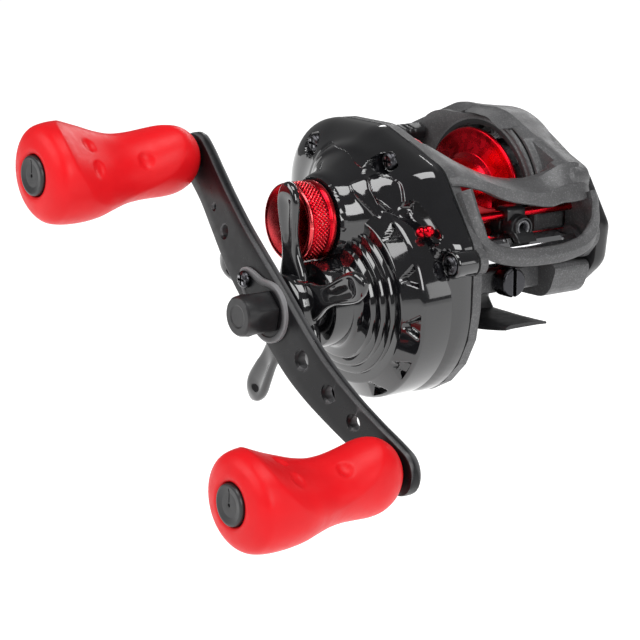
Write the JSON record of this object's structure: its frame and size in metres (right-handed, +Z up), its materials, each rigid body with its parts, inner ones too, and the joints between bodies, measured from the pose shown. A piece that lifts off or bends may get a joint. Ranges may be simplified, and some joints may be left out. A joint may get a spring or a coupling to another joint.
{
  "type": "baitcasting reel",
  "caption": "Low-profile fishing reel with a crank handle and two knobs, star drag, level wind, thumb clutch and geared spool.",
  "frame": {"origin": "centre of the reel foot's underside, on the rod seat, below the spool's axis", "axes": "+X forward to the rod tip, +Y to the palm side (the handle is on -Y), +Z up from the rod"},
  "size_m": [0.0993, 0.1225, 0.0808],
  "materials": {
    "matte_grey": "matte fine-textured dark grey paint on aluminium",
    "gloss_black": "high-gloss black lacquer",
    "black": "black moulding with a low sheen",
    "satin_black": "satin black anodised with bright edges",
    "red_anodised": "deep red anodised, bright cut edges",
    "red_rubber": "soft-touch red rubber",
    "steel": "turned steel",
    "black_steel": "black oxide steel",
    "chrome": "bright chrome",
    "aluminium": "bare turned aluminium",
    "brass": "machined brass",
    "carbon": "woven carbon friction disc",
    "black_nylon": "black nylon moulding",
    "ceramic": "polished dark ceramic"
  },
  "bodies": {
    "reel_body": {"frame": "matte_grey", "hood": "matte_grey", "front_guard": "matte_grey", "reel_foot": "black", "foot_screw_front": "black_steel", "foot_screw_rear": "black_steel", "gear_cover": "gloss_black", "cover_screw_front": "black_steel", "cover_screw_rear": "black_steel", "cover_screw_lug": "black_steel", "palm_cover": "black", "brake_ring": "steel", "spool_bearing_palm": "steel", "worm_guard": "chrome", "guide_rod": "red_anodised", "worm_bush_handle": "steel", "worm_bush_palm": "steel", "idler_stud": "steel", "yoke_post_front": "steel", "yoke_post_rear": "steel", "yoke_spring_front": "steel", "yoke_spring_rear": "steel", "spool_bearing_handle": "steel", "shaft_bearing": "steel", "one_way_bearing": "steel"},
    "crank": {"drive_shaft": "steel", "main_gear": "brass", "level_wind_drive_gear": "black_nylon", "drag_washer": "carbon", "drag_plate": "steel", "pressure_plate": "steel", "one_way_sleeve": "steel", "handle_arm": "satin_black", "nut_retainer": "satin_black", "retainer_screw": "black_steel", "handle_nut": "black", "knob_post_upper": "black_steel", "knob_post_lower": "black_steel"},
    "upper_knob": {"knob_grip_upper": "red_rubber", "knob_cap_upper": "black"},
    "lower_knob": {"knob_grip_lower": "red_rubber", "knob_cap_lower": "black"},
    "star": {"star_drag": "gloss_black"},
    "spool_rotor": {"spool": "red_anodised", "spool_shaft": "steel", "brake_rotor": "aluminium"},
    "tension_cap": {"tension_knob": "red_anodised"},
    "dial": {"brake_dial": "black"},
    "release": {"release_screw": "black_steel"},
    "yoke": {"clutch_yoke": "black_nylon"},
    "pinion_body": {"pinion": "brass"},
    "thumb": {"thumb_bar": "black", "clutch_cam": "steel"},
    "worm": {"worm_shaft": "steel", "worm_gear": "black_nylon"},
    "idler": {"idler_gear": "black_nylon"},
    "carriage": {"line_guide_carriage": "black_nylon", "guide_ring": "ceramic", "pawl": "brass", "pawl_cap": "black"}
  },
  "joints": [
    {"name": "crank_spin", "type": "hinge", "parent": "reel_body", "child": "crank", "pos_m": [0.006, 0, 0.0075], "axis": [0, 1, 0], "continuous": true},
    {"name": "spool_spin", "type": "hinge", "parent": "reel_body", "child": "spool_rotor", "pos_m": [0, 0, 0.0255], "axis": [0, 1, 0], "continuous": true},
    {"name": "thumb_bar_press", "type": "slide", "parent": "reel_body", "child": "thumb", "axis": [0, 0, -1], "range_m": [0, 0.004], "stiffness_N_per_m": 300, "springref_m": -0.003},
    {"name": "clutch_yoke_shift", "type": "slide", "parent": "reel_body", "child": "yoke", "axis": [0, -1, 0], "range_m": [0, 0.0007]},
    {"name": "pinion_spin", "type": "hinge", "parent": "yoke", "child": "pinion_body", "pos_m": [0, 0, 0.0255], "axis": [0, 1, 0], "continuous": true},
    {"name": "idler_spin", "type": "hinge", "parent": "reel_body", "child": "idler", "pos_m": [0.01363, 0, 0.019], "axis": [0, 1, 0], "continuous": true},
    {"name": "worm_spin", "type": "hinge", "parent": "reel_body", "child": "worm", "pos_m": [0.0238, 0, 0.0182], "axis": [0, 1, 0], "continuous": true},
    {"name": "line_guide_travel", "type": "slide", "parent": "reel_body", "child": "carriage", "axis": [0, 1, 0], "range_m": [-0.0108, 0.0058]},
    {"name": "upper_knob_spin", "type": "hinge", "parent": "crank", "child": "upper_knob", "pos_m": [-0.03163, 0, 0.03648], "axis": [0, 1, 0], "continuous": true},
    {"name": "lower_knob_spin", "type": "hinge", "parent": "crank", "child": "lower_knob", "pos_m": [0.04363, 0, -0.02148], "axis": [0, 1, 0], "continuous": true},
    {"name": "star_drag_turn", "type": "hinge", "parent": "crank", "child": "star", "pos_m": [0.006, 0, 0.0075], "axis": [0, 1, 0], "range_deg": [-180, 180]},
    {"name": "tension_knob_turn", "type": "hinge", "parent": "reel_body", "child": "tension_cap", "pos_m": [0, 0, 0.0255], "axis": [0, 1, 0], "range_deg": [-180, 180]},
    {"name": "brake_dial_turn", "type": "hinge", "parent": "reel_body", "child": "dial", "pos_m": [0, 0, 0.0255], "axis": [0, 1, 0], "range_deg": [0, 270]},
    {"name": "release_screw_turn", "type": "hinge", "parent": "reel_body", "child": "release", "pos_m": [0.0262, 0.001, 0.0106], "axis": [1, 0, 0], "range_deg": [0, 180]}
  ],
  "couplings": [
    {"joint": "spool_spin", "follows": "crank_spin", "ratio": -6.4},
    {"joint": "pinion_spin", "follows": "crank_spin", "ratio": -6.4},
    {"joint": "idler_spin", "follows": "crank_spin", "ratio": -1.0909},
    {"joint": "worm_spin", "follows": "crank_spin", "ratio": 2},
    {"joint": "clutch_yoke_shift", "follows": "thumb_bar_press", "ratio": 0.175}
  ]
}
